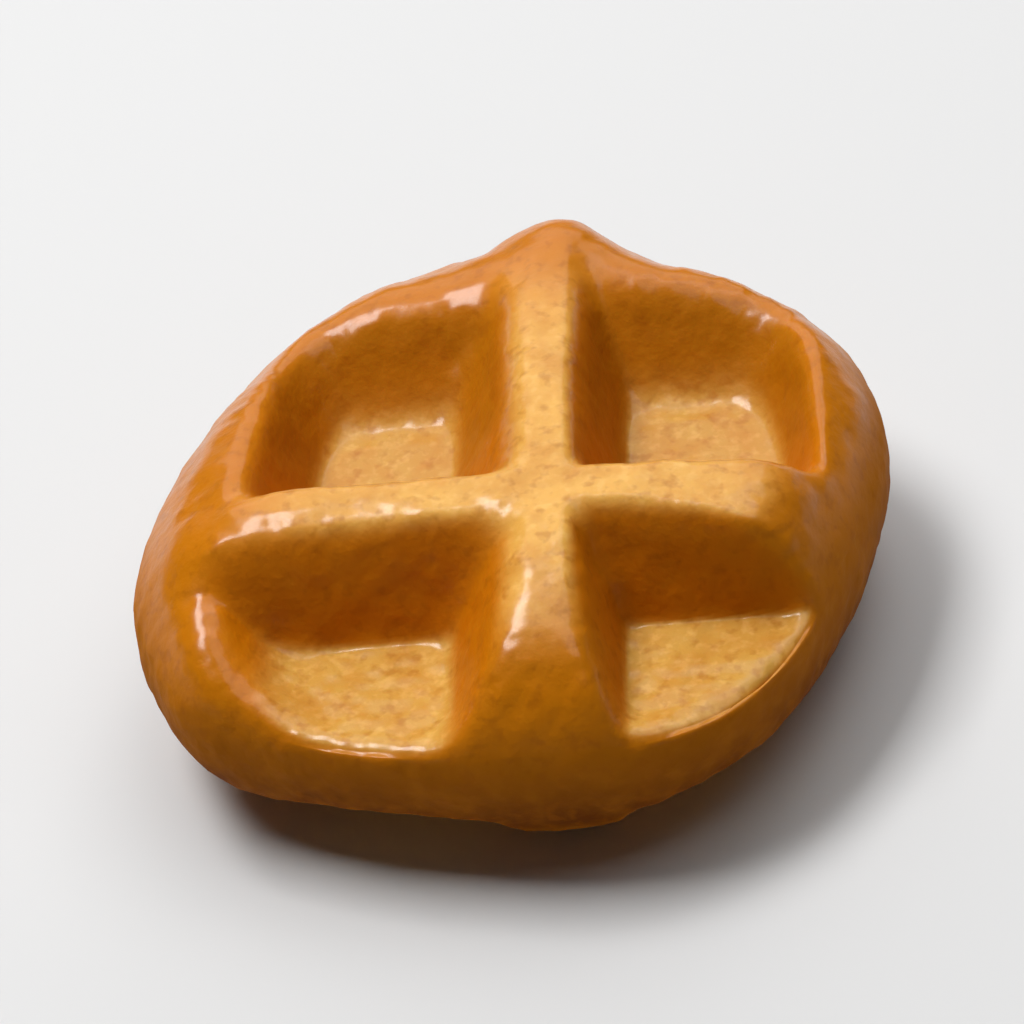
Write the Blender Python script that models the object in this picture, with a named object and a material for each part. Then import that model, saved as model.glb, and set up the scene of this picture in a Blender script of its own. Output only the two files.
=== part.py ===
"""A small thick waffle: a round bun of yeast dough, pressed between two iron plates with four studs each.

Metres, +Z up, +X to the right, +Y to the back. The origin is the centre of the waffle's footprint, on
the surface that its lower ribs rest on. The dough filled the iron unevenly, so the cross of ribs lies
in front and to the right of the bun's middle.
"""

import bmesh
import bpy
import numpy as np

# Bun
RADIUS = 0.0273
THICKNESS = 0.0226
EQUATOR_HEIGHT = 0.0104
TOP_FULLNESS = 2.25
BOTTOM_FULLNESS = 2.15
TOP_SWELL = 0.0022
BOTTOM_SWELL = 0.0034
BUN_X = 0.00035
BUN_Y = -0.00165

# Waves of the outline: (count round the bun, height, angle of a crest in degrees)
OUTLINE_WAVES = ((2, 0.00115, 35.0), (3, 0.00035, 72.0), (4, 0.00105, 27.5))

# Lobes of the outline, where a rib pushed the dough out: (angle in degrees, height, half width in degrees)
LOBES = ((82.0, 0.0034, 11.0), (218.0, 0.0007, 8.0))

# Mounds and dips of the upper free surface: (x, y, height, width)
MOUNDS = (
    (0.0036, 0.0255, 0.0022, 0.0055),
    (-0.0085, 0.0175, -0.0012, 0.0090),
    (-0.0185, -0.0090, 0.0018, 0.0058),
    (0.0195, -0.0095, 0.0024, 0.0056),
    (-0.0160, -0.0180, -0.0026, 0.0055),
    (0.0150, -0.0200, -0.0018, 0.0055),
)

# Slow swells of the free surface: (height, length along X, length along Y, phase)
SWELLS = ((0.00022, 0.019, 0.031, 0.8), (0.00018, -0.013, 0.017, 2.1), (0.00012, 0.009, 0.011, 4.0))

# Cross of ribs. Drafts are angles from upright in degrees; a reach is where an outer wall meets the floor.
CROSS_X = 0.0031
CROSS_Y = -0.0072
RIB_TOP_WIDTH = 0.0046
RIB_WALL_DRAFT = 19.0
RIB_SIDE_DRAFT = 22.5
RIGHT_FLARE = 0.18
LEFT_FLARE = 0.04
FLARE_REACH = 0.0140
LEFT_CROWN = 70.0
CROWN_RIDGE = 0.0010
CROWN_START = 0.0020
CROWN_FULL = 0.0090
CROWN_WIDTH = 0.0055
LEFT_REACH = 0.0192
RIGHT_REACH = 0.0177
BACK_REACH = 0.0185
FRONT_REACH = 0.0165
FLANK_TURN = 0.08
BACK_LEFT_DRAFT = 20.0
BACK_RIGHT_DRAFT = 24.0
FRONT_LEFT_DRAFT = 42.0
FRONT_RIGHT_DRAFT = 40.0
BACK_WALL_DRAFT = 41.0
FRONT_WALL_DRAFT = 55.0
TOP_POCKET_DEPTH = 0.0096
BOTTOM_POCKET_DEPTH = 0.0060
TOP_STUD_LEAN = 0.0012

# How wide the corners and edges are rounded
INNER_CORNER = 0.0050
OUTER_CORNER = 0.0095
SIDE_CORNER = 0.0040
RIB_EDGE = 0.0036
LIP_EDGE = 0.0036
REST_EDGE = 0.0016
FLOOR_EDGE = 0.0014

# Mesh: cells across and down the side, how far the straight grid reaches, and where its lines lie
GRID_CELLS = 48
SIDE_CELLS = 5
RIB_FLAT = 0.0014
RIB_FOOT = 0.0072
RIB_FLAT_SHARE = 0.04
RIB_FOOT_SHARE = 0.37
FLOOR_END = 0.42
FLOOR_END_SHARE = 0.49
GRID_LEFT = 0.0260
GRID_RIGHT = 0.0210
GRID_BACK = 0.0310
GRID_FRONT = 0.0170
STRAIGHT_SHARE = 0.40
RIM_SHARE = 0.985


def smooth_min(first, second, width):
    """The lower of two values, with the crossing rounded over a difference of width."""
    share = np.clip(0.5 + 0.5 * (second - first) / width, 0.0, 1.0)
    return second + (first - second) * share - width * share * (1.0 - share)


def smooth_max(first, second, width):
    """The higher of two values, with the crossing rounded over a difference of width."""
    return -smooth_min(-first, -second, width)


def smooth_step(value, low, high):
    """From 0 at low to 1 at high, level at both ends."""
    share = np.clip((value - low) / (high - low), 0.0, 1.0)
    return share * share * (3.0 - 2.0 * share)


def outline_radius(angle):
    """The bun's radius in plan: a circle with a few waves and with a lobe where a rib pushed dough out."""
    radius = np.full_like(angle, RADIUS)
    for count, height, crest in OUTLINE_WAVES:
        radius = radius + height * np.cos(count * (angle - np.radians(crest)))
    for centre, height, half_width in LOBES:
        away = np.degrees(np.angle(np.exp(1j * (angle - np.radians(centre)))))
        radius = radius + height * np.exp(-((away / half_width) ** 2))
    return radius


def radius_share(x, y):
    """Distance from the bun's middle, as a share of the outline's radius in that direction."""
    return np.hypot(x, y) / outline_radius(np.arctan2(y, x))


def bun_height(x, y, half_height, fullness):
    """How far the bun's free surface stands from the equator plane, as a superellipse of the radius."""
    return half_height * np.clip(1.0 - radius_share(x, y) ** fullness, 0.0, None) ** (1.0 / fullness)


def swell(x, y):
    """Slow swells of the free surface: a few crossing waves, fading out at the outline."""
    height = np.zeros_like(x)
    for size, length_x, length_y, phase in SWELLS:
        height = height + size * np.sin(2.0 * np.pi * (x / length_x + y / length_y) + phase)
    return height * np.clip(1.0 - radius_share(x, y) ** 6, 0.0, 1.0)


def mounds(x, y):
    """Mounds and dips as soft bells, fading out at the outline."""
    height = np.zeros_like(x)
    for middle_x, middle_y, size, width in MOUNDS:
        height = height + size * np.exp(-((x - middle_x) ** 2 + (y - middle_y) ** 2) / width**2)
    return height * np.clip(1.0 - radius_share(x, y) ** 6, 0.0, 1.0)


def plate_height(x, y, depth, stud_lean, crown_size):
    """The plate's height over the pocket floors: sloping walls round each floor, cut off at the ribs' tops.

    A stud that leans has its end face shifted to the left by stud_lean. The ribs' front walls get steeper
    outwards, so that the left and the right rib widen. The left rib's top falls away to the front, as
    crown_size times the square of the distance from its ridge.
    """
    across = x - CROSS_X
    along = y - CROSS_Y
    shift = stud_lean * np.sign(across)
    side_run = depth * np.tan(np.radians(RIB_SIDE_DRAFT)) - shift
    rib_wall_x = depth * (1.0 - (np.abs(across) - 0.5 * RIB_TOP_WIDTH) / side_run)
    floor_edge = 0.5 * RIB_TOP_WIDTH + depth * np.tan(np.radians(RIB_WALL_DRAFT))
    flare_share = np.clip(np.abs(across) / FLARE_REACH, 0.0, 1.0) ** 2
    flare_size = np.where(across > 0.0, RIGHT_FLARE, LEFT_FLARE)
    flare = np.where(along < 0.0, depth * flare_size * flare_share, 0.0)
    rib_wall_y = depth * (floor_edge - np.abs(along)) / (floor_edge - 0.5 * RIB_TOP_WIDTH - flare)
    rib_walls = smooth_max(rib_wall_x, rib_wall_y, INNER_CORNER)
    left_draft = np.where(along > 0.0, BACK_LEFT_DRAFT, FRONT_LEFT_DRAFT)
    right_draft = np.where(along > 0.0, BACK_RIGHT_DRAFT, FRONT_RIGHT_DRAFT)
    left_wall = (-across - LEFT_REACH + FLANK_TURN * along) / np.tan(np.radians(left_draft))
    right_wall = (across - RIGHT_REACH + FLANK_TURN * along) / np.tan(np.radians(right_draft))
    back_wall = (along - BACK_REACH) / np.tan(np.radians(BACK_WALL_DRAFT))
    front_wall = (-along - FRONT_REACH) / np.tan(np.radians(FRONT_WALL_DRAFT))
    outer_walls = smooth_max(np.maximum(left_wall, right_wall), np.maximum(back_wall, front_wall), OUTER_CORNER)
    walls = smooth_max(rib_walls, outer_walls, SIDE_CORNER)
    pocket = smooth_max(walls, np.zeros_like(x), FLOOR_EDGE)
    crown = crown_size * smooth_step(-across, CROWN_START, CROWN_FULL)
    rib_top = depth - crown * np.clip(CROWN_RIDGE - along, 0.0, CROWN_WIDTH) ** 2
    return smooth_min(pocket, rib_top, RIB_EDGE)


def top_height(x, y):
    """The upper surface: the lower of the free dome and the upper plate."""
    dome = EQUATOR_HEIGHT + bun_height(x, y, THICKNESS - EQUATOR_HEIGHT + TOP_SWELL, TOP_FULLNESS)
    dome = dome + swell(x, y) + mounds(x, y)
    plate = THICKNESS - TOP_POCKET_DEPTH + plate_height(x, y, TOP_POCKET_DEPTH, TOP_STUD_LEAN, LEFT_CROWN)
    return smooth_min(dome, plate, LIP_EDGE)


def bottom_height(x, y):
    """The lower surface: the higher of the free underside and the lower plate."""
    belly = EQUATOR_HEIGHT - bun_height(x, y, EQUATOR_HEIGHT + BOTTOM_SWELL, BOTTOM_FULLNESS)
    plate = BOTTOM_POCKET_DEPTH - plate_height(x, y, BOTTOM_POCKET_DEPTH, 0.0, 0.0)
    return smooth_max(belly, plate, REST_EDGE)


def grid_line(share, low_reach, high_reach):
    """Spreads grid lines over the reach on each side of the cross, closest at the ribs' walls and at the rim."""
    reach = np.where(share > 0.0, high_reach, low_reach)
    rib_part = np.interp(np.abs(share), (0.0, RIB_FLAT_SHARE, RIB_FOOT_SHARE), (0.0, RIB_FLAT, RIB_FOOT))
    outer_part = np.interp(np.abs(share), (RIB_FOOT_SHARE, FLOOR_END_SHARE, 1.0), (0.0, FLOOR_END, 1.0))
    return np.sign(share) * (rib_part + outer_part * (reach - RIB_FOOT))


def rim_distance(angle):
    """Distance from the cross's middle to the rim of the plates' reach, found by halving."""
    near = np.zeros_like(angle)
    far = np.full_like(angle, 2.0 * RADIUS)
    for _ in range(40):
        middle = 0.5 * (near + far)
        x = CROSS_X + middle * np.cos(angle)
        y = CROSS_Y + middle * np.sin(angle)
        inside = radius_share(x, y) < RIM_SHARE
        near = np.where(inside, middle, near)
        far = np.where(inside, far, middle)
    return near


def plan_position(across, along):
    """Plan place of a grid point: straight lines around the cross, bending into the rim's curve."""
    x = grid_line(across, GRID_LEFT, GRID_RIGHT)
    y = grid_line(along, GRID_FRONT, GRID_BACK)
    share_x = np.abs(x) / np.where(x > 0.0, GRID_RIGHT, GRID_LEFT)
    share_y = np.abs(y) / np.where(y > 0.0, GRID_BACK, GRID_FRONT)
    ring = np.maximum(share_x, share_y)
    edge = np.hypot(x, y) / np.maximum(ring, 1e-9)
    bend = np.clip((ring - STRAIGHT_SHARE) / (1.0 - STRAIGHT_SHARE), 0.0, 1.0) ** 1.5
    scale = 1.0 + bend * (rim_distance(np.arctan2(y, x)) / np.maximum(edge, 1e-9) - 1.0)
    return CROSS_X + x * scale, CROSS_Y + y * scale


def side_points(x, y, level):
    """Carries rim points down the bun's round side, level 1 at the upper rim and -1 at the lower one."""
    upper = level > 0.0
    fullness = np.where(upper, TOP_FULLNESS, BOTTOM_FULLNESS)
    half_height = np.where(upper, THICKNESS - EQUATOR_HEIGHT + TOP_SWELL, EQUATOR_HEIGHT + BOTTOM_SWELL)
    rim_turn = np.arccos(RIM_SHARE ** (fullness / 2.0))
    rim_rise = half_height * np.sin(rim_turn) ** (2.0 / fullness)
    surface = np.where(upper, top_height(x, y), bottom_height(x, y)) - EQUATOR_HEIGHT
    pressed = (surface - np.sign(level) * rim_rise) * np.abs(level) ** 3
    turn = rim_turn * level
    stretch = np.cos(turn) ** (2.0 / fullness) / RIM_SHARE
    rise = np.sign(turn) * half_height * np.abs(np.sin(turn)) ** (2.0 / fullness)
    return x * stretch, y * stretch, EQUATOR_HEIGHT + rise + pressed


def bun_points(cube):
    """Moves the points of a gridded cube, two units wide, onto the waffle's surface."""
    across, along, level = cube.T
    x, y = plan_position(across, along)
    side = np.abs(level) < 0.999
    z = np.where(level > 0.0, top_height(x, y), bottom_height(x, y))
    x[side], y[side], z[side] = side_points(x[side], y[side], level[side])
    return np.column_stack((x, y, z))


def gridded_cube(cells, side_cells):
    """A cube of two units with a square grid on top and bottom and rows of cells round its sides."""
    mesh = bmesh.new()
    bmesh.ops.create_cube(mesh, size=2.0)
    upright = [edge for edge in mesh.edges if abs(edge.verts[0].co.z - edge.verts[1].co.z) > 1.0]
    bmesh.ops.subdivide_edges(mesh, edges=upright, cuts=side_cells - 1)
    level = [edge for edge in mesh.edges if abs(edge.verts[0].co.z - edge.verts[1].co.z) < 0.001]
    bmesh.ops.subdivide_edges(mesh, edges=level, cuts=cells - 1, use_grid_fill=True)
    return mesh


def crust_material():
    """Golden baked crust with a thin shine of butter and sugar."""
    material = bpy.data.materials.new("golden_crust")
    material.use_nodes = True
    shader = material.node_tree.nodes["Principled BSDF"]
    shader.inputs["Base Color"].default_value = (0.62, 0.28, 0.045, 1.0)
    shader.inputs["Roughness"].default_value = 0.38
    shader.inputs["Metallic"].default_value = 0.0
    return material


def make_waffle():
    """The whole waffle, one closed solid, modelled around the bun's middle."""
    grid = gridded_cube(GRID_CELLS, SIDE_CELLS)
    cube = np.array([vertex.co for vertex in grid.verts])
    for vertex, place in zip(grid.verts, bun_points(cube)):
        vertex.co = place
    bmesh.ops.triangulate(grid, faces=grid.faces, quad_method="SHORT_EDGE")
    data = bpy.data.meshes.new("waffle")
    grid.to_mesh(data)
    grid.free()
    data.shade_smooth()
    data.materials.append(crust_material())
    waffle = bpy.data.objects.new("waffle", data)
    waffle.location = (BUN_X, BUN_Y, 0.0)
    bpy.context.scene.collection.objects.link(waffle)


def main():
    for thing in list(bpy.data.objects):
        bpy.data.objects.remove(thing, do_unlink=True)
    make_waffle()


main()
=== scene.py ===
import itertools

import bpy
import numpy as np
from mathutils import Matrix, Vector


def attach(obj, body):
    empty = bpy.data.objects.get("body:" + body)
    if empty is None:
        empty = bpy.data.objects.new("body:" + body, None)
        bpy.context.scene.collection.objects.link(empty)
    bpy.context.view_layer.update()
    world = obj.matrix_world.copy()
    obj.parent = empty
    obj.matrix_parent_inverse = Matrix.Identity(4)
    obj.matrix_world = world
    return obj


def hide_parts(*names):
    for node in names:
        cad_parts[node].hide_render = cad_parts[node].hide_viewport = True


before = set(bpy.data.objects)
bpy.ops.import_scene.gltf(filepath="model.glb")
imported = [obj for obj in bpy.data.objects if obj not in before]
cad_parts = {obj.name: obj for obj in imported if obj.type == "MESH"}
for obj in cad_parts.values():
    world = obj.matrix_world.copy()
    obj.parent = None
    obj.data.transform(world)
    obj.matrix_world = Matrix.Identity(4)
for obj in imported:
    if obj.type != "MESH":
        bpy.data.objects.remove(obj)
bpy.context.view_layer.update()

# Bun
RADIUS = 0.0273
THICKNESS = 0.0226
EQUATOR_HEIGHT = 0.0104
TOP_FULLNESS = 2.25
BOTTOM_FULLNESS = 2.15
TOP_SWELL = 0.0022
BOTTOM_SWELL = 0.0034
BUN_PLACE = (0.00035, -0.00165, 0.0)
OUTLINE_WAVES = ((2, 0.00115, 35.0), (3, 0.00035, 72.0), (4, 0.00105, 27.5))
LOBES = ((82.0, 0.0034, 11.0), (218.0, 0.0007, 8.0))
MOUNDS = (
    (0.0036, 0.0255, 0.0022, 0.0055),
    (-0.0085, 0.0175, -0.0012, 0.0090),
    (-0.0185, -0.0090, 0.0018, 0.0058),
    (0.0195, -0.0095, 0.0024, 0.0056),
    (-0.0160, -0.0180, -0.0026, 0.0055),
    (0.0150, -0.0200, -0.0018, 0.0055),
)
SWELLS = ((0.00022, 0.019, 0.031, 0.8), (0.00018, -0.013, 0.017, 2.1), (0.00012, 0.009, 0.011, 4.0))

# Cross of ribs
CROSS_X = 0.0031
CROSS_Y = -0.0072
RIB_TOP_WIDTH = 0.0046
RIB_WALL_DRAFT = 19.0
RIB_SIDE_DRAFT = 22.5
RIGHT_FLARE = 0.18
LEFT_FLARE = 0.04
FLARE_REACH = 0.0140
LEFT_CROWN = 70.0
CROWN_RIDGE = 0.0010
CROWN_START = 0.0020
CROWN_FULL = 0.0090
CROWN_WIDTH = 0.0055
LEFT_REACH = 0.0192
RIGHT_REACH = 0.0177
BACK_REACH = 0.0185
FRONT_REACH = 0.0165
FLANK_TURN = 0.08
BACK_LEFT_DRAFT = 20.0
BACK_RIGHT_DRAFT = 24.0
FRONT_LEFT_DRAFT = 42.0
FRONT_RIGHT_DRAFT = 40.0
BACK_WALL_DRAFT = 41.0
FRONT_WALL_DRAFT = 55.0
TOP_POCKET_DEPTH = 0.0096
BOTTOM_POCKET_DEPTH = 0.0060
TOP_STUD_LEAN = 0.0012
INNER_CORNER = 0.0050
OUTER_CORNER = 0.0095
SIDE_CORNER = 0.0040
RIB_EDGE = 0.0036
LIP_EDGE = 0.0036
REST_EDGE = 0.0016
FLOOR_EDGE = 0.0014

# Mesh. Side rows keep EQUATOR_GAP of the turn off the equator.
GRID_LINES = 181
SIDE_ROWS = 36
GRID_LEFT = 0.0260
GRID_RIGHT = 0.0210
GRID_BACK = 0.0310
GRID_FRONT = 0.0170
STRAIGHT_SHARE = 0.40
BEND_POWER = 1.5
RIM_SHARE = 0.985
HALVINGS = 40
EQUATOR_GAP = 1e-4
TINY = 1e-9

# Relief of the crust: (size of the lumps, height, seed)
RELIEF = ((0.0060, 0.00014, 11), (0.0024, 0.00010, 12), (0.0011, 0.00008, 13), (0.0007, 0.00003, 14))
LATTICE = 32

# Where the tones of the crust begin and end. PRESS_EDGE is the height either side of the iron over which
# pressed crust turns into free crust, and SIDE_FADE is the height either side of the equator over which
# the side darkens with painted shade. NORMAL pairs are the normal's rise, SHARES pairs are shares of the
# pocket's depth, the PLACES pair is the distance behind the cross where the back pockets take painted shade,
# and BACK_ON_FLOOR is the share of that painted shade that floors keep.
PRESS_EDGE = 0.0012
LEVEL_NORMAL = (0.45, 0.95)
BUTTER_NORMAL = (0.25, 0.75)
RIB_SHARES = (0.60, 0.95)
FLOOR_SHARES = (0.70, 0.98)
BACK_SHARES = (0.10, 0.50)
BACK_PLACES = (0.0060, 0.0130)
BACK_ON_FLOOR = 0.4
SIDE_FADE = 0.0060

# Golden rib tops, lighter crust with painted sheen: distance below the iron, from the rib's middle line and
# from the cross, full and faded out
RIB_BELOW = (0.0008, 0.0055)
RIB_ASIDE = (0.0035, 0.0055)
RIB_ALONG = (0.0120, 0.0270)
BACK_RIB_SHARE = 0.85

# Colours of the crust, among them painted shade and painted sheen
DOUGH = (0.60, 0.185, 0.003, 1)
WALL = (0.54, 0.150, 0.001, 1)
# Painted shade: a darker brown for the shade that falls in the back pockets
BACK_POCKET_SHADE = (0.30, 0.115, 0.002, 1)
# Rib tops: a lighter gold of less baked crust, with painted sheen added to it
RIB_GOLD_AND_SHEEN = (0.76, 0.395, 0.078, 1)
RIB_CRUMB = (0.88, 0.520, 0.150, 1)
# Pocket floors: a gold of pressed crust, with painted sheen added to it
FLOOR_GOLD_AND_SHEEN = (0.63, 0.335, 0.064, 1)
FLOOR_CRUMB = (0.86, 0.510, 0.150, 1)
SIDE = (0.54, 0.166, 0.001, 1)
# Painted shade: a dark brown that the free sides take towards the base, where shade falls
LOW_SIDE_SHADE = (0.13, 0.028, 0.001, 1)
BACK_SHADE_SHARE = 0.50

# Noises: (scale, detail, value where the spots start, value where they are full)
CRUMB_NOISE = (1200.0, 2.0, 0.50, 0.68)
CRUMB_SHARE = 0.40
BLOTCH_NOISE = (160.0, 3.0, 0.42, 0.70)
MOTTLE_NOISE = (480.0, 4.0, 0.45, 0.68)
SPECK_NOISE = (900.0, 2.0, 0.54, 0.70)

# Darker spots on the crust: (noise, share, colour)
SPOTS = (
    (BLOTCH_NOISE, 0.34, (0.46, 0.140, 0.002, 1)),
    (MOTTLE_NOISE, 0.30, (0.50, 0.160, 0.004, 1)),
    (SPECK_NOISE, 0.40, (0.36, 0.100, 0.002, 1)),
)

# Shine and grain: dry values where no butter lies, buttered ones where it does
DRY_ROUGHNESS = 0.75
BUTTERED_ROUGHNESS = 0.36
DRY_COAT = 0.0
BUTTERED_COAT = 0.60
COAT_ROUGHNESS = 0.20
SPECULAR_LEVEL = 0.06
GRAIN_SCALE = 1300.0
GRAIN_DETAIL = 5.0
GRAIN_STRENGTH = 0.60
GRAIN_HEIGHT = 0.00016
GLOW_WEIGHT = 0.12
GLOW_RADIUS = (1.0, 0.45, 0.15)
GLOW_SCALE = 0.0015

# Studio: (lamp, place, width, length, energy), the point that the lamps face, the room and the floor
LAMPS = (
    ("back_lamp", (-0.06, 0.62, 0.62), 0.95, 0.95, 3.6),
    ("ridge_lamp", (-0.28, 0.10, 0.72), 0.40, 0.26, 5.0),
    ("top_lamp", (0.26, 0.12, 0.78), 0.75, 0.60, 2.1),
)
LAMP_TARGET = (0.0, 0.0, 0.01)
ROOM_COLOUR = (1.0, 1.0, 1.0, 1)
ROOM_LIGHT = 0.04
FLOOR_HALF = 1.5
FLOOR_PAINT = (0.66, 0.66, 0.66, 1)
FLOOR_ROUGHNESS = 0.8

# Camera, at the photograph's viewing angle
AZIMUTH = 6.9
ELEVATION = 41.4
ROLL = 9.2
DISTANCE = 0.53
VIEW_WIDTH = 0.076
VIEW_HEIGHT = 0.012
SENSOR = 36.0


def smooth_min(first, second, width):
    """The lower of two values, with the crossing rounded over a difference of width."""
    share = np.clip(0.5 + 0.5 * (second - first) / width, 0.0, 1.0)
    return second + (first - second) * share - width * share * (1.0 - share)


def smooth_max(first, second, width):
    """The higher of two values, with the crossing rounded over a difference of width."""
    return -smooth_min(-first, -second, width)


def smooth_step(value, low, high):
    """From 0 at low to 1 at high, by the cubic that is level at both ends."""
    share = np.clip((value - low) / (high - low), 0.0, 1.0)
    return share * share * (3.0 - 2.0 * share)


def outline_radius(angle):
    """The bun's radius in plan.

    It is a circle, plus cosine waves of the angle, plus a bell where a rib pushed dough out.
    """
    radius = np.full_like(angle, RADIUS)
    for count, height, crest in OUTLINE_WAVES:
        radius = radius + height * np.cos(count * (angle - np.radians(crest)))
    for centre, height, half_width in LOBES:
        away = np.degrees(np.angle(np.exp(1j * (angle - np.radians(centre)))))
        radius = radius + height * np.exp(-((away / half_width) ** 2))
    return radius


def radius_share(x, y):
    """Distance from the bun's middle over the outline's radius in that direction."""
    return np.hypot(x, y) / outline_radius(np.arctan2(y, x))


def bun_height(x, y, half_height, fullness):
    """Height over the equator: a superellipse.

    It is half_height times (1 - share to the power fullness), to the power 1 over fullness.
    """
    return half_height * np.clip(1.0 - radius_share(x, y) ** fullness, 0.0, None) ** (1.0 / fullness)


def swell(x, y):
    """Slow swells: a sum of crossing sine waves, times 1 - share to the sixth power."""
    height = np.zeros_like(x)
    for size, length_x, length_y, phase in SWELLS:
        height = height + size * np.sin(2.0 * np.pi * (x / length_x + y / length_y) + phase)
    return height * np.clip(1.0 - radius_share(x, y) ** 6, 0.0, 1.0)


def mounds(x, y):
    """Mounds and dips: a sum of bells, times 1 - share to the sixth power."""
    height = np.zeros_like(x)
    for middle_x, middle_y, size, width in MOUNDS:
        height = height + size * np.exp(-((x - middle_x) ** 2 + (y - middle_y) ** 2) / width**2)
    return height * np.clip(1.0 - radius_share(x, y) ** 6, 0.0, 1.0)


def plate_height(x, y, depth, stud_lean, crown_size):
    """Height over the pocket floors: the highest of four sloping planes and the floor, cut at the ribs' tops.

    The left rib's top falls away to the front as crown_size times the square of the distance from its ridge.
    """
    across = x - CROSS_X
    along = y - CROSS_Y
    floor_edge = 0.5 * RIB_TOP_WIDTH + depth * np.tan(np.radians(RIB_WALL_DRAFT))
    shift = stud_lean * np.sign(across)
    side_run = depth * np.tan(np.radians(RIB_SIDE_DRAFT)) - shift
    rib_wall_x = depth * (1.0 - (np.abs(across) - 0.5 * RIB_TOP_WIDTH) / side_run)
    flare_size = np.where(across > 0.0, RIGHT_FLARE, LEFT_FLARE)
    flare_share = np.clip(np.abs(across) / FLARE_REACH, 0.0, 1.0) ** 2
    flare = np.where(along < 0.0, depth * flare_size * flare_share, 0.0)
    rib_wall_y = depth * (floor_edge - np.abs(along)) / (floor_edge - 0.5 * RIB_TOP_WIDTH - flare)
    rib_walls = smooth_max(rib_wall_x, rib_wall_y, INNER_CORNER)
    left_draft = np.where(along > 0.0, BACK_LEFT_DRAFT, FRONT_LEFT_DRAFT)
    right_draft = np.where(along > 0.0, BACK_RIGHT_DRAFT, FRONT_RIGHT_DRAFT)
    left_wall = (-across - LEFT_REACH + FLANK_TURN * along) / np.tan(np.radians(left_draft))
    right_wall = (across - RIGHT_REACH + FLANK_TURN * along) / np.tan(np.radians(right_draft))
    back_wall = (along - BACK_REACH) / np.tan(np.radians(BACK_WALL_DRAFT))
    front_wall = (-along - FRONT_REACH) / np.tan(np.radians(FRONT_WALL_DRAFT))
    side_walls = np.maximum(left_wall, right_wall)
    end_walls = np.maximum(back_wall, front_wall)
    outer_walls = smooth_max(side_walls, end_walls, OUTER_CORNER)
    walls = smooth_max(rib_walls, outer_walls, SIDE_CORNER)
    pocket = smooth_max(walls, np.zeros_like(x), FLOOR_EDGE)
    crown = crown_size * smooth_step(-across, CROWN_START, CROWN_FULL)
    rib_top = depth - crown * np.clip(CROWN_RIDGE - along, 0.0, CROWN_WIDTH) ** 2
    return smooth_min(pocket, rib_top, RIB_EDGE)


def top_height(x, y):
    """The upper surface: the lower of the free dome and the upper plate."""
    dome = EQUATOR_HEIGHT + bun_height(x, y, THICKNESS - EQUATOR_HEIGHT + TOP_SWELL, TOP_FULLNESS)
    dome = dome + swell(x, y) + mounds(x, y)
    plate = THICKNESS - TOP_POCKET_DEPTH + plate_height(x, y, TOP_POCKET_DEPTH, TOP_STUD_LEAN, LEFT_CROWN)
    return smooth_min(dome, plate, LIP_EDGE)


def bottom_height(x, y):
    """The lower surface: the higher of the free underside and the lower plate."""
    belly = EQUATOR_HEIGHT - bun_height(x, y, EQUATOR_HEIGHT + BOTTOM_SWELL, BOTTOM_FULLNESS)
    plate = BOTTOM_POCKET_DEPTH - plate_height(x, y, BOTTOM_POCKET_DEPTH, 0.0, 0.0)
    return smooth_max(belly, plate, REST_EDGE)


def rim_distance(angle):
    """Distance from the cross's middle to the rim, where the radius share is RIM_SHARE, found by halving."""
    near = np.zeros_like(angle)
    far = np.full_like(angle, 2.0 * RADIUS)
    for _ in range(HALVINGS):
        middle = 0.5 * (near + far)
        x = CROSS_X + middle * np.cos(angle)
        y = CROSS_Y + middle * np.sin(angle)
        inside = radius_share(x, y) < RIM_SHARE
        near = np.where(inside, middle, near)
        far = np.where(inside, far, middle)
    return near


def plan_position(across, along):
    """Plan place of two parameters from -1 to 1: straight at the cross, stretched to the rim further out."""
    x = across * np.where(across > 0.0, GRID_RIGHT, GRID_LEFT)
    y = along * np.where(along > 0.0, GRID_BACK, GRID_FRONT)
    ring = np.maximum(np.abs(across), np.abs(along))
    edge = np.hypot(x, y) / np.maximum(ring, TINY)
    bend = np.clip((ring - STRAIGHT_SHARE) / (1.0 - STRAIGHT_SHARE), 0.0, 1.0) ** BEND_POWER
    scale = 1.0 + bend * (rim_distance(np.arctan2(y, x)) / np.maximum(edge, TINY) - 1.0)
    return CROSS_X + x * scale, CROSS_Y + y * scale


def side_points(x, y, level):
    """Carries rim points down the round side: a superellipse, from level 1 above to -1 below.

    What the iron pressed off the rim fades with the cube of the level.
    """
    upper = level > 0.0
    fullness = np.where(upper, TOP_FULLNESS, BOTTOM_FULLNESS)
    half_height = np.where(upper, THICKNESS - EQUATOR_HEIGHT + TOP_SWELL, EQUATOR_HEIGHT + BOTTOM_SWELL)
    rim_turn = np.arccos(RIM_SHARE ** (fullness / 2.0))
    rim_rise = half_height * np.sin(rim_turn) ** (2.0 / fullness)
    surface = np.where(upper, top_height(x, y), bottom_height(x, y)) - EQUATOR_HEIGHT
    pressed = (surface - np.sign(level) * rim_rise) * np.abs(level) ** 3
    turn = rim_turn * level
    stretch = np.cos(turn) ** (2.0 / fullness) / RIM_SHARE
    rise = np.sign(turn) * half_height * np.abs(np.sin(turn)) ** (2.0 / fullness)
    return x * stretch, y * stretch, EQUATOR_HEIGHT + rise + pressed


def border_of(grid):
    """The numbers round a square grid's edge, anticlockwise from its first corner."""
    return np.concatenate((grid[:-1, 0], grid[-1, :-1], grid[:0:-1, -1], grid[0, :0:-1]))


def cells_of(grid):
    """The four corners of each cell of a grid of vertex numbers, facing up."""
    corners = (grid[:-1, :-1], grid[1:, :-1], grid[1:, 1:], grid[:-1, 1:])
    return np.stack([corner.ravel() for corner in corners], axis=1)


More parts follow.
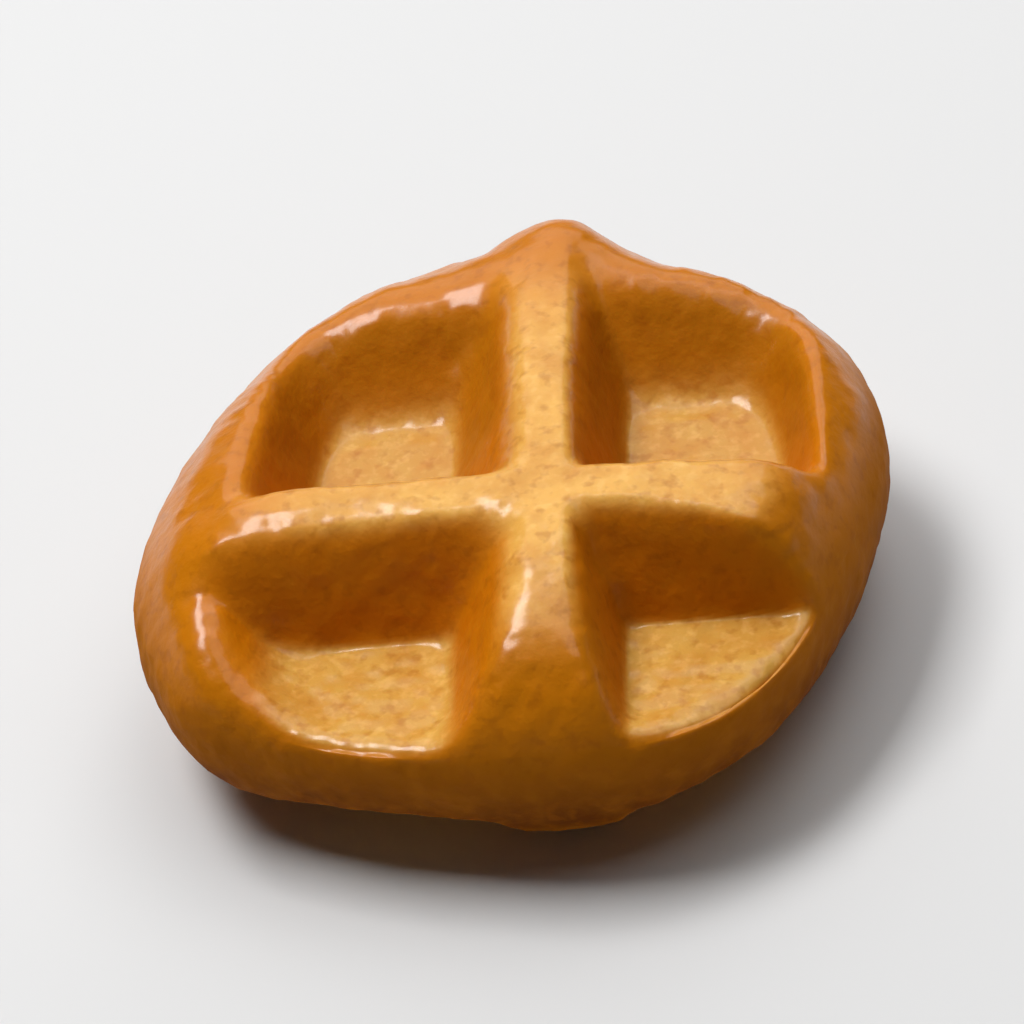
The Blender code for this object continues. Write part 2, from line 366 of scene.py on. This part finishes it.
def bun_surface():
    """Vertices and four-sided faces of the whole closed surface: upper sheet, lower sheet and side rows."""
    line = np.linspace(-1.0, 1.0, GRID_LINES)
    across, along = np.meshgrid(line, line, indexing="ij")
    x, y = plan_position(across.ravel(), along.ravel())
    upper = np.column_stack((x, y, top_height(x, y)))
    lower = np.column_stack((x, y, bottom_height(x, y)))
    upper_grid = np.arange(GRID_LINES**2).reshape(GRID_LINES, GRID_LINES)
    lower_grid = upper_grid + GRID_LINES**2
    border = border_of(upper_grid)
    levels = np.linspace(1.0, -1.0, SIDE_ROWS + 1)[1:-1]
    # No row lies exactly on the equator, where the side's two halves meet.
    levels = np.where(np.abs(levels) < TINY, EQUATOR_GAP, levels)
    rim_x = np.tile(x[border], len(levels))
    rim_y = np.tile(y[border], len(levels))
    side = np.column_stack(side_points(rim_x, rim_y, np.repeat(levels, len(border))))
    side_grid = 2 * GRID_LINES**2 + np.arange(len(side)).reshape(len(levels), len(border))
    rows = np.vstack((border, side_grid, border_of(lower_grid)))
    rows = np.hstack((rows, rows[:, :1]))
    faces = np.vstack((cells_of(upper_grid), cells_of(lower_grid)[:, ::-1], cells_of(rows)))
    return np.vstack((upper, lower, side)), faces


def vertex_normals(points, faces):
    """Unit normals: each face's cross product of its diagonals, added up at its corners."""
    across = points[faces[:, 2]] - points[faces[:, 0]]
    along = points[faces[:, 3]] - points[faces[:, 1]]
    facing = np.cross(across, along)
    total = np.zeros_like(points)
    for corner in range(4):
        np.add.at(total, faces[:, corner], facing)
    return total / np.maximum(np.linalg.norm(total, axis=1, keepdims=True), TINY**2)


def lattice_noise(points, cell, seed):
    """Noise from -1 to 1: random values at the corners of a cubic lattice, blended by the level cubic."""
    values = np.random.default_rng(seed).uniform(-1.0, 1.0, (LATTICE, LATTICE, LATTICE))
    place = points / cell + 0.5 * LATTICE
    corner = np.floor(place).astype(int)
    part = place - corner
    blend = part * part * (3.0 - 2.0 * part)
    total = np.zeros(len(points))
    for step in itertools.product((0, 1), repeat=3):
        weight = np.prod(np.where(np.array(step) == 1, blend, 1.0 - blend), axis=1)
        number = (corner + np.array(step)) % LATTICE
        total = total + weight * values[number[:, 0], number[:, 1], number[:, 2]]
    return total


def relief(points):
    """Height of the crust's lumps: lattice noises of several sizes added up."""
    height = np.zeros(len(points))
    for cell, size, seed in RELIEF:
        height = height + size * lattice_noise(points, cell, seed)
    return height


def pressed_shares(x, y, upper):
    """Share of the pocket's depth that the iron leaves standing, and share of pressed crust.

    Pressed crust is where the iron lies inside the free dome or belly. It turns into free crust from
    PRESS_EDGE inside to PRESS_EDGE outside.
    """
    plate_up = plate_height(x, y, TOP_POCKET_DEPTH, TOP_STUD_LEAN, LEFT_CROWN) / TOP_POCKET_DEPTH
    plate_down = plate_height(x, y, BOTTOM_POCKET_DEPTH, 0.0, 0.0) / BOTTOM_POCKET_DEPTH
    dome_height = bun_height(x, y, THICKNESS - EQUATOR_HEIGHT + TOP_SWELL, TOP_FULLNESS)
    dome = EQUATOR_HEIGHT + dome_height + mounds(x, y)
    belly = EQUATOR_HEIGHT - bun_height(x, y, EQUATOR_HEIGHT + BOTTOM_SWELL, BOTTOM_FULLNESS)
    inside_up = dome - (THICKNESS - TOP_POCKET_DEPTH * (1.0 - plate_up))
    inside_down = BOTTOM_POCKET_DEPTH * (1.0 - plate_down) - belly
    pressed = smooth_step(np.where(upper, inside_up, inside_down), -PRESS_EDGE, PRESS_EDGE)
    return np.where(upper, plate_up, plate_down), pressed


def fade_out(distance, full, gone):
    """From 1 up to the distance full, down to 0 at the distance gone."""
    return smooth_step(-distance, -gone, -full)


def rib_share(x, y, z, upper, plate, level):
    """Golden rib tops, lighter crust with painted sheen: along the ribs' bands of the plan, for as long as
    they lie close under the iron.
    """
    across = x - CROSS_X
    along = y - CROSS_Y
    from_iron = np.where(upper, THICKNESS - z, z)
    from_line = np.minimum(np.abs(across), np.abs(along))
    # The back rib stays golden further out than the other three.
    from_cross = np.maximum(np.abs(across), np.maximum(BACK_RIB_SHARE * along, -along))
    rib = smooth_step(plate, *RIB_SHARES) * level * fade_out(from_iron, *RIB_BELOW)
    return rib * fade_out(from_line, *RIB_ASIDE) * fade_out(from_cross, *RIB_ALONG)


def bake_tones(points, normals):
    """How each place was baked and buttered, and where shade and sheen are painted, as shares from 0 to 1
    that the material mixes its colours by.
    """
    x, y, z = points.T
    rise = normals[:, 2]
    upper = rise > 0.0
    plate, pressed = pressed_shares(x, y, upper)
    level = smooth_step(np.abs(rise), *LEVEL_NORMAL)
    rib = rib_share(x, y, z, upper, plate, level)
    # Pocket floors: pressed crust, whose gold carries painted sheen.
    floor = pressed * smooth_step(1.0 - plate, *FLOOR_SHARES) * level
    free = (1.0 - pressed) * (1.0 - rib)
    # Painted shade: the free sides darken towards the base.
    low = fade_out(z, EQUATOR_HEIGHT - SIDE_FADE, EQUATOR_HEIGHT + SIDE_FADE) * (1.0 - level)
    # Painted shade: the back pockets' far walls are painted darker for the shade that falls in them, and
    # their floors less so.
    back = pressed * smooth_step(1.0 - plate, *BACK_SHARES) * smooth_step(y - CROSS_Y, *BACK_PLACES)
    return {
        "rib_top": rib,
        "pocket_floor": floor,
        "pocket_wall": pressed * (1.0 - level),
        "back_wall": back * (1.0 - (1.0 - BACK_ON_FLOOR) * floor),
        "free_side": free,
        "low_side_shade": low * free,
        # Butter was brushed on from above, so it lies on what faces up.
        "butter": smooth_step(rise, *BUTTER_NORMAL),
    }


def new_mesh(name, points, faces, attributes):
    """A smooth mesh of these points and four-sided faces, with one number a point for each attribute."""
    mesh = bpy.data.meshes.new(name)
    mesh.from_pydata(points.tolist(), [], faces.tolist())
    mesh.shade_smooth()
    for attribute, values in attributes.items():
        layer = mesh.attributes.new(attribute, "FLOAT", "POINT")
        layer.data.foreach_set("value", values.astype(np.float32))
    mesh.update()
    return mesh


def add_node(tree, kind, **values):
    """A shader node, with its properties and its inputs set by name."""
    node = tree.nodes.new(kind)
    for name, value in values.items():
        if name in node.inputs:
            node.inputs[name].default_value = value
        else:
            setattr(node, name, value)
    return node


def attribute_value(tree, name):
    """The number that a point carries under this name."""
    return add_node(tree, "ShaderNodeAttribute", attribute_name=name).outputs["Fac"]


def feed(tree, socket, value):
    """Sets a socket to a fixed value, or links another node's output to it."""
    if isinstance(value, bpy.types.NodeSocket):
        tree.links.new(value, socket)
    else:
        socket.default_value = value


def mix_colour(tree, share, first, second):
    """Mixes two colours by share."""
    node = tree.nodes.new("ShaderNodeMix")
    node.data_type = "RGBA"
    # A colour mix takes its share from input 0 and its colours from 6 and 7, and gives the mix at output 2.
    for number, value in ((0, share), (6, first), (7, second)):
        feed(tree, node.inputs[number], value)
    return node.outputs[2]


def times(tree, first, second):
    """The product of two numbers."""
    node = add_node(tree, "ShaderNodeMath", operation="MULTIPLY")
    feed(tree, node.inputs[0], first)
    feed(tree, node.inputs[1], second)
    return node.outputs[0]


def spread_value(tree, value, low, high, at_low, at_high):
    """Carries a number from the range low to high over to the range at_low to at_high."""
    node = tree.nodes.new("ShaderNodeMapRange")
    for name, end in (("From Min", low), ("From Max", high), ("To Min", at_low), ("To Max", at_high)):
        node.inputs[name].default_value = end
    tree.links.new(value, node.inputs["Value"])
    return node.outputs[0]


def noise_value(tree, scale, detail):
    """Noise on Object coordinates."""
    place = tree.nodes.new("ShaderNodeTexCoord").outputs["Object"]
    texture = add_node(tree, "ShaderNodeTexNoise", Scale=scale, Detail=detail)
    tree.links.new(place, texture.inputs["Vector"])
    return texture.outputs[0]


def spots(tree, noise):
    """Spots of a noise: 0 below its start, 1 above its full value."""
    scale, detail, start, full = noise
    return spread_value(tree, noise_value(tree, scale, detail), start, full, 0.0, 1.0)


def crust_colour(tree):
    """The crust's colour: each tone over the last by its share, then the darker spots. Among the tones are
    painted shade and painted sheen.
    """
    crumb = times(tree, spots(tree, CRUMB_NOISE), CRUMB_SHARE)
    tones = (
        (attribute_value(tree, "pocket_wall"), WALL),
        # Rib tops: lighter crust with painted sheen
        (attribute_value(tree, "rib_top"), mix_colour(tree, crumb, RIB_GOLD_AND_SHEEN, RIB_CRUMB)),
        # Pocket floors: pressed crust with painted sheen
        (attribute_value(tree, "pocket_floor"), mix_colour(tree, crumb, FLOOR_GOLD_AND_SHEEN, FLOOR_CRUMB)),
        # Painted shade in the back pockets
        (times(tree, attribute_value(tree, "back_wall"), BACK_SHADE_SHARE), BACK_POCKET_SHADE),
        (attribute_value(tree, "free_side"), SIDE),
        # Painted shade low on the sides
        (attribute_value(tree, "low_side_shade"), LOW_SIDE_SHADE),
    )
    colour = DOUGH
    for share, tone in tones:
        colour = mix_colour(tree, share, colour, tone)
    for noise, share, tone in SPOTS:
        colour = mix_colour(tree, times(tree, spots(tree, noise), share), colour, tone)
    return colour


def crust_material():
    """Baked crust: golden ribs and floors with painted sheen in their gold, amber walls and sides, painted
    shade in the back pockets and low on the sides, fine crumb, and a thin shine of butter.
    """
    material = bpy.data.materials.new("golden_crust")
    material.use_nodes = True
    tree = material.node_tree
    shader = tree.nodes["Principled BSDF"]
    butter = attribute_value(tree, "butter")
    roughness = spread_value(tree, butter, 0.0, 1.0, DRY_ROUGHNESS, BUTTERED_ROUGHNESS)
    coat = spread_value(tree, butter, 0.0, 1.0, DRY_COAT, BUTTERED_COAT)
    bump = add_node(tree, "ShaderNodeBump", Strength=GRAIN_STRENGTH, Distance=GRAIN_HEIGHT)
    tree.links.new(noise_value(tree, GRAIN_SCALE, GRAIN_DETAIL), bump.inputs["Height"])
    tree.links.new(crust_colour(tree), shader.inputs["Base Color"])
    tree.links.new(roughness, shader.inputs["Roughness"])
    tree.links.new(coat, shader.inputs["Coat Weight"])
    tree.links.new(bump.outputs["Normal"], shader.inputs["Normal"])
    shader.inputs["Coat Roughness"].default_value = COAT_ROUGHNESS
    shader.inputs["Specular IOR Level"].default_value = SPECULAR_LEVEL
    shader.inputs["Subsurface Weight"].default_value = GLOW_WEIGHT
    shader.inputs["Subsurface Radius"].default_value = GLOW_RADIUS
    shader.inputs["Subsurface Scale"].default_value = GLOW_SCALE
    return material


def make_waffle():
    """The whole waffle as one closed fine surface, in the place of the plain solid."""
    points, faces = bun_surface()
    normals = vertex_normals(points, faces)
    tones = bake_tones(points, normals)
    points = points + normals * relief(points)[:, None] + np.array(BUN_PLACE)
    mesh = new_mesh("baked_waffle", points, faces, tones)
    mesh.materials.append(crust_material())
    waffle = bpy.data.objects.new("baked_waffle", mesh)
    bpy.context.scene.collection.objects.link(waffle)
    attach(waffle, "root")
    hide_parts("waffle")


def floor_surface():
    """A level square of pale floor at the height that the waffle rests on."""
    signs = np.array([(-1.0, -1.0, 0.0), (1.0, -1.0, 0.0), (1.0, 1.0, 0.0), (-1.0, 1.0, 0.0)])
    corners = FLOOR_HALF * signs
    mesh = new_mesh("studio_floor", corners, np.array([[0, 1, 2, 3]]), {})
    material = bpy.data.materials.new("pale_floor")
    material.use_nodes = True
    shader = material.node_tree.nodes["Principled BSDF"]
    shader.inputs["Base Color"].default_value = FLOOR_PAINT
    shader.inputs["Roughness"].default_value = FLOOR_ROUGHNESS
    mesh.materials.append(material)
    floor = bpy.data.objects.new("studio_floor", mesh)
    bpy.context.scene.collection.objects.link(floor)


def soft_light(name, place, width, length, energy):
    """A soft lamp of this width and length at this place, facing the waffle."""
    data = bpy.data.lights.new(name, "AREA")
    data.shape = "RECTANGLE"
    data.energy = energy
    data.size = width
    data.size_y = length
    lamp = bpy.data.objects.new(name, data)
    lamp.location = place
    lamp.rotation_euler = (Vector(LAMP_TARGET) - Vector(place)).to_track_quat("-Z", "Y").to_euler()
    bpy.context.scene.collection.objects.link(lamp)


def make_lights():
    """A large lamp behind that the level faces mirror, a small strong one, a soft one, and a dim room."""
    for lamp in LAMPS:
        soft_light(*lamp)
    world = bpy.data.worlds.new("pale_room")
    world.use_nodes = True
    backdrop = world.node_tree.nodes["Background"]
    backdrop.inputs["Color"].default_value = ROOM_COLOUR
    backdrop.inputs["Strength"].default_value = ROOM_LIGHT
    bpy.context.scene.world = world


def make_camera():
    """A camera in front and above, turned a little about its own axis, with the waffle in its middle."""
    azimuth, elevation, roll = np.radians((AZIMUTH, ELEVATION, ROLL))
    level = np.cos(elevation)
    ahead = Vector((-np.sin(azimuth) * level, np.cos(azimuth) * level, -np.sin(elevation)))
    right = Vector((np.cos(azimuth), np.sin(azimuth), 0.0))
    up = right.cross(ahead)
    turned_right = right * np.cos(roll) - up * np.sin(roll)
    turned_up = up * np.cos(roll) + right * np.sin(roll)
    target = Vector((0.0, 0.0, VIEW_HEIGHT))
    data = bpy.data.cameras.new("camera")
    data.sensor_width = SENSOR
    data.lens = SENSOR * DISTANCE / VIEW_WIDTH
    data.dof.use_dof = False
    camera = bpy.data.objects.new("camera", data)
    matrix = Matrix((turned_right, turned_up, -ahead)).transposed().to_4x4()
    matrix.translation = target - ahead * DISTANCE
    camera.matrix_world = matrix
    bpy.context.scene.collection.objects.link(camera)
    bpy.context.scene.camera = camera


bpy.context.scene.view_settings.view_transform = "Standard"
make_waffle()
floor_surface()
make_lights()
make_camera()
